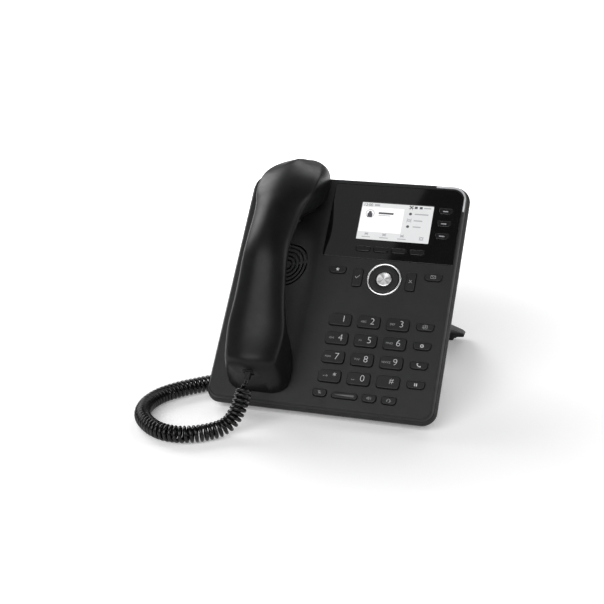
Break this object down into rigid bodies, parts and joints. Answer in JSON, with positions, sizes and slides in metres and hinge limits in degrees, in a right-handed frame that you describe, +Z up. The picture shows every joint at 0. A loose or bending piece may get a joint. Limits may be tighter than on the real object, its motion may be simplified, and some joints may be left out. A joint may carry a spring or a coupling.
{
  "type": "desk phone",
  "caption": "Corded desk phone with a colour display, dial and function keys, a handset on a coiled cord and a clip-on rear stand.",
  "frame": {"origin": "centre of the footprint at desk level, measured without the cord", "axes": "+Z up, +Y away from the caller, +X to the caller's right"},
  "size_m": [0.245, 0.2748, 0.1842],
  "materials": {
    "housing": "fine-textured matte",
    "gloss": "polished",
    "key": "satin",
    "gloss_key": "satin gloss",
    "chrome": "satin metallised",
    "screen": "lit liquid crystal display",
    "light": "translucent",
    "handset": "satin",
    "rubber": "matte",
    "board": "solder mask",
    "silicone": "matte",
    "cone": "matte",
    "socket": "matte",
    "cord": "smooth flexible sheath",
    "clear": "clear"
  },
  "bodies": {
    "base": {"front_housing": "housing", "rear_housing": "housing", "display_fascia": "gloss", "lcd_module": "screen", "message_light": "light", "nav_ring": "chrome", "key_mat": "silicone", "main_board": "board", "loudspeaker": "cone", "network_jacks": "socket", "handset_jacks": "socket", "cradle_tab": "housing", "front_foot_left": "rubber", "front_foot_right": "rubber", "stand_foot_left": "rubber", "stand_foot_right": "rubber", "stand": "housing", "base_plug": "clear", "cord_coil": "cord", "cord_tail": "cord"},
    "handset": {"handset_outer": "handset", "handset_inner": "handset", "receiver_capsule": "cone", "microphone_capsule": "cone", "handset_plug": "clear"},
    "nav_rocker": {"nav_rocker": "silicone"},
    "nav_key": {"nav_key": "key"},
    "ok_button": {"ok_button": "chrome"},
    "volume_rocker": {"volume_rocker": "key"},
    "hook_plunger": {"hook_plunger": "socket"},
    "key_1": {"key_1": "key"},
    "key_2": {"key_2": "key"},
    "key_3": {"key_3": "key"},
    "key_4": {"key_4": "key"},
    "key_5": {"key_5": "key"},
    "key_6": {"key_6": "key"},
    "key_7": {"key_7": "key"},
    "key_8": {"key_8": "key"},
    "key_9": {"key_9": "key"},
    "key_star": {"key_star": "key"},
    "key_0": {"key_0": "key"},
    "key_hash": {"key_hash": "key"},
    "directory_key": {"directory_key": "key"},
    "settings_key": {"settings_key": "key"},
    "transfer_key": {"transfer_key": "key"},
    "hold_key": {"hold_key": "key"},
    "mute_key": {"mute_key": "key"},
    "speaker_key": {"speaker_key": "key"},
    "headset_key": {"headset_key": "key"},
    "favourites_key": {"favourites_key": "key"},
    "message_key": {"message_key": "key"},
    "confirm_key": {"confirm_key": "key"},
    "cancel_key": {"cancel_key": "key"},
    "soft_key_1": {"soft_key_1": "gloss_key"},
    "soft_key_2": {"soft_key_2": "gloss_key"},
    "soft_key_3": {"soft_key_3": "gloss_key"},
    "soft_key_4": {"soft_key_4": "gloss_key"},
    "line_key_1": {"line_key_1": "gloss_key"},
    "line_key_2": {"line_key_2": "gloss_key"},
    "line_key_3": {"line_key_3": "gloss_key"}
  },
  "joints": [
    {"name": "handset_lift", "type": "slide", "parent": "base", "child": "handset", "axis": [0, -0.7193, 0.6947], "range_m": [0, 0.06], "deforming": ["cord_coil"]},
    {"name": "hook_rise", "type": "slide", "parent": "base", "child": "hook_plunger", "axis": [0, -0.7193, 0.6947], "range_m": [0, 0.003]},
    {"name": "nav_up_down", "type": "hinge", "parent": "base", "child": "nav_rocker", "pos_m": [0.037, -0.01012, 0.09581], "axis": [1, 0, 0], "range_deg": [-3, 3], "stiffness_Nm_per_rad": 0.4},
    {"name": "nav_left_right", "type": "hinge", "parent": "nav_rocker", "child": "nav_key", "pos_m": [0.037, -0.01048, 0.09615], "axis": [0, 0.6947, 0.7193], "range_deg": [-3, 3], "stiffness_Nm_per_rad": 0.4},
    {"name": "ok_button_press", "type": "slide", "parent": "base", "child": "ok_button", "axis": [0, 0.7193, -0.6947], "range_m": [0, 0.0008], "stiffness_N_per_m": 400, "springref_m": -0.0005},
    {"name": "volume_rock", "type": "hinge", "parent": "base", "child": "volume_rocker", "pos_m": [0.02175, -0.08334, 0.02027], "axis": [0, 0.6947, 0.7193], "range_deg": [-2.5, 2.5], "stiffness_Nm_per_rad": 0.3},
    {"name": "key_1_press", "type": "slide", "parent": "base", "child": "key_1", "axis": [0, 0.7193, -0.6947], "range_m": [0, 0.001], "stiffness_N_per_m": 400, "springref_m": -0.0005},
    {"name": "key_2_press", "type": "slide", "parent": "base", "child": "key_2", "axis": [0, 0.7193, -0.6947], "range_m": [0, 0.001], "stiffness_N_per_m": 400, "springref_m": -0.0005},
    {"name": "key_3_press", "type": "slide", "parent": "base", "child": "key_3", "axis": [0, 0.7193, -0.6947], "range_m": [0, 0.001], "stiffness_N_per_m": 400, "springref_m": -0.0005},
    {"name": "key_4_press", "type": "slide", "parent": "base", "child": "key_4", "axis": [0, 0.7193, -0.6947], "range_m": [0, 0.001], "stiffness_N_per_m": 400, "springref_m": -0.0005},
    {"name": "key_5_press", "type": "slide", "parent": "base", "child": "key_5", "axis": [0, 0.7193, -0.6947], "range_m": [0, 0.001], "stiffness_N_per_m": 400, "springref_m": -0.0005},
    {"name": "key_6_press", "type": "slide", "parent": "base", "child": "key_6", "axis": [0, 0.7193, -0.6947], "range_m": [0, 0.001], "stiffness_N_per_m": 400, "springref_m": -0.0005},
    {"name": "key_7_press", "type": "slide", "parent": "base", "child": "key_7", "axis": [0, 0.7193, -0.6947], "range_m": [0, 0.001], "stiffness_N_per_m": 400, "springref_m": -0.0005},
    {"name": "key_8_press", "type": "slide", "parent": "base", "child": "key_8", "axis": [0, 0.7193, -0.6947], "range_m": [0, 0.001], "stiffness_N_per_m": 400, "springref_m": -0.0005},
    {"name": "key_9_press", "type": "slide", "parent": "base", "child": "key_9", "axis": [0, 0.7193, -0.6947], "range_m": [0, 0.001], "stiffness_N_per_m": 400, "springref_m": -0.0005},
    {"name": "key_star_press", "type": "slide", "parent": "base", "child": "key_star", "axis": [0, 0.7193, -0.6947], "range_m": [0, 0.001], "stiffness_N_per_m": 400, "springref_m": -0.0005},
    {"name": "key_0_press", "type": "slide", "parent": "base", "child": "key_0", "axis": [0, 0.7193, -0.6947], "range_m": [0, 0.001], "stiffness_N_per_m": 400, "springref_m": -0.0005},
    {"name": "key_hash_press", "type": "slide", "parent": "base", "child": "key_hash", "axis": [0, 0.7193, -0.6947], "range_m": [0, 0.001], "stiffness_N_per_m": 400, "springref_m": -0.0005},
    {"name": "directory_key_press", "type": "slide", "parent": "base", "child": "directory_key", "axis": [0, 0.7193, -0.6947], "range_m": [0, 0.001], "stiffness_N_per_m": 400, "springref_m": -0.0005},
    {"name": "settings_key_press", "type": "slide", "parent": "base", "child": "settings_key", "axis": [0, 0.7193, -0.6947], "range_m": [0, 0.001], "stiffness_N_per_m": 400, "springref_m": -0.0005},
    {"name": "transfer_key_press", "type": "slide", "parent": "base", "child": "transfer_key", "axis": [0, 0.7193, -0.6947], "range_m": [0, 0.001], "stiffness_N_per_m": 400, "springref_m": -0.0005},
    {"name": "hold_key_press", "type": "slide", "parent": "base", "child": "hold_key", "axis": [0, 0.7193, -0.6947], "range_m": [0, 0.001], "stiffness_N_per_m": 400, "springref_m": -0.0005},
    {"name": "mute_key_press", "type": "slide", "parent": "base", "child": "mute_key", "axis": [0, 0.7193, -0.6947], "range_m": [0, 0.001], "stiffness_N_per_m": 400, "springref_m": -0.0005},
    {"name": "speaker_key_press", "type": "slide", "parent": "base", "child": "speaker_key", "axis": [0, 0.7193, -0.6947], "range_m": [0, 0.001], "stiffness_N_per_m": 400, "springref_m": -0.0005},
    {"name": "headset_key_press", "type": "slide", "parent": "base", "child": "headset_key", "axis": [0, 0.7193, -0.6947], "range_m": [0, 0.001], "stiffness_N_per_m": 400, "springref_m": -0.0005},
    {"name": "favourites_key_press", "type": "slide", "parent": "base", "child": "favourites_key", "axis": [0, 0.7193, -0.6947], "range_m": [0, 0.001], "stiffness_N_per_m": 400, "springref_m": -0.0005},
    {"name": "message_key_press", "type": "slide", "parent": "base", "child": "message_key", "axis": [0, 0.7193, -0.6947], "range_m": [0, 0.001], "stiffness_N_per_m": 400, "springref_m": -0.0005},
    {"name": "confirm_key_press", "type": "slide", "parent": "base", "child": "confirm_key", "axis": [0, 0.7193, -0.6947], "range_m": [0, 0.001], "stiffness_N_per_m": 400, "springref_m": -0.0005},
    {"name": "cancel_key_press", "type": "slide", "parent": "base", "child": "cancel_key", "axis": [0, 0.7193, -0.6947], "range_m": [0, 0.001], "stiffness_N_per_m": 400, "springref_m": -0.0005},
    {"name": "soft_key_1_press", "type": "slide", "parent": "base", "child": "soft_key_1", "axis": [0, 0.7193, -0.6947], "range_m": [0, 0.0008], "stiffness_N_per_m": 400, "springref_m": -0.0005},
    {"name": "soft_key_2_press", "type": "slide", "parent": "base", "child": "soft_key_2", "axis": [0, 0.7193, -0.6947], "range_m": [0, 0.0008], "stiffness_N_per_m": 400, "springref_m": -0.0005},
    {"name": "soft_key_3_press", "type": "slide", "parent": "base", "child": "soft_key_3", "axis": [0, 0.7193, -0.6947], "range_m": [0, 0.0008], "stiffness_N_per_m": 400, "springref_m": -0.0005},
    {"name": "soft_key_4_press", "type": "slide", "parent": "base", "child": "soft_key_4", "axis": [0, 0.7193, -0.6947], "range_m": [0, 0.0008], "stiffness_N_per_m": 400, "springref_m": -0.0005},
    {"name": "line_key_1_press", "type": "slide", "parent": "base", "child": "line_key_1", "axis": [0, 0.7193, -0.6947], "range_m": [0, 0.0008], "stiffness_N_per_m": 400, "springref_m": -0.0005},
    {"name": "line_key_2_press", "type": "slide", "parent": "base", "child": "line_key_2", "axis": [0, 0.7193, -0.6947], "range_m": [0, 0.0008], "stiffness_N_per_m": 400, "springref_m": -0.0005},
    {"name": "line_key_3_press", "type": "slide", "parent": "base", "child": "line_key_3", "axis": [0, 0.7193, -0.6947], "range_m": [0, 0.0008], "stiffness_N_per_m": 400, "springref_m": -0.0005}
  ],
  "couplings": [
    {"joint": "hook_rise", "follows": "handset_lift", "ratio": 0.05}
  ]
}
